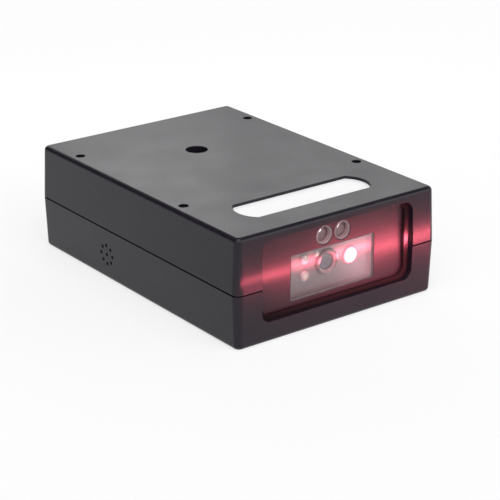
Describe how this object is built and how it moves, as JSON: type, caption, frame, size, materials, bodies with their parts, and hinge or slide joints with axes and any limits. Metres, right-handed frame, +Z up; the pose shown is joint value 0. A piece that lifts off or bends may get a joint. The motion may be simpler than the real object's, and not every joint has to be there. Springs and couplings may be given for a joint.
{
  "type": "fixed barcode reader",
  "caption": "Small box-shaped fixed barcode reader: two-part plastic case, recessed front window with camera engine and lamps, screw holes on top, lead socket at the back.",
  "frame": {"origin": "middle of the bottom face, on the surface that the reader stands on", "axes": "+Z up through the top with the screw holes, -Y out of the front window, +Y out of the back wall with the lead socket, +X to the right as seen from the front"},
  "size_m": [0.064, 0.09, 0.029],
  "materials": {
    "case_plastic": "fine moulded texture, satin",
    "faceplate_plastic": "fine moulded texture",
    "gasket_rubber": "matte",
    "plaque_white": "smooth, unprinted",
    "clear_acrylic": "clear, polished",
    "lamp_clear": "clear epoxy",
    "aiming_lamp": "clear epoxy, lit",
    "board_pale": "pale lacquer",
    "board_green": "lacquered board",
    "engine_black": "matte",
    "lens_glass": "coated",
    "chip_black": "moulded",
    "ferrite_grey": "ferrite",
    "crystal_can": "drawn can",
    "capacitor_tan": "ceramic",
    "connector_ivory": "moulded",
    "ribbon_film": "film",
    "socket_black": "moulded",
    "contact_gold": "gold plated",
    "screw_steel": "zinc plated"
  },
  "bodies": {
    "root": {"upper_housing": "case_plastic", "lower_housing": "case_plastic", "faceplate": "faceplate_plastic", "window_gasket": "gasket_rubber", "name_plate": "plaque_white", "scan_window": "clear_acrylic", "lamp_lens_left": "lamp_clear", "lamp_lens_right": "lamp_clear", "lamp_left": "lamp_clear", "lamp_right": "lamp_clear", "illumination_led_upper": "lamp_clear", "illumination_led_lower": "lamp_clear", "illumination_led_inner": "lamp_clear", "aiming_led": "aiming_lamp", "illumination_board": "board_pale", "lamp_board": "board_green", "sensor_board": "board_green", "main_board": "board_green", "engine_chassis": "engine_black", "lens_barrel": "engine_black", "lens_glass": "lens_glass", "image_sensor": "chip_black", "decoder_chip": "chip_black", "memory_chip": "chip_black", "beeper": "chip_black", "power_inductor": "ferrite_grey", "clock_crystal": "crystal_can", "chip_capacitors": "capacitor_tan", "sensor_ribbon_socket": "connector_ivory", "lamp_ribbon_socket": "connector_ivory", "engine_ribbon_port": "connector_ivory", "lamp_ribbon_port": "connector_ivory", "engine_ribbon": "ribbon_film", "lamp_ribbon": "ribbon_film", "interface_socket": "socket_black", "socket_contacts": "contact_gold", "case_screws": "screw_steel", "board_screws": "screw_steel", "engine_screws": "screw_steel"}
  },
  "joints": []
}
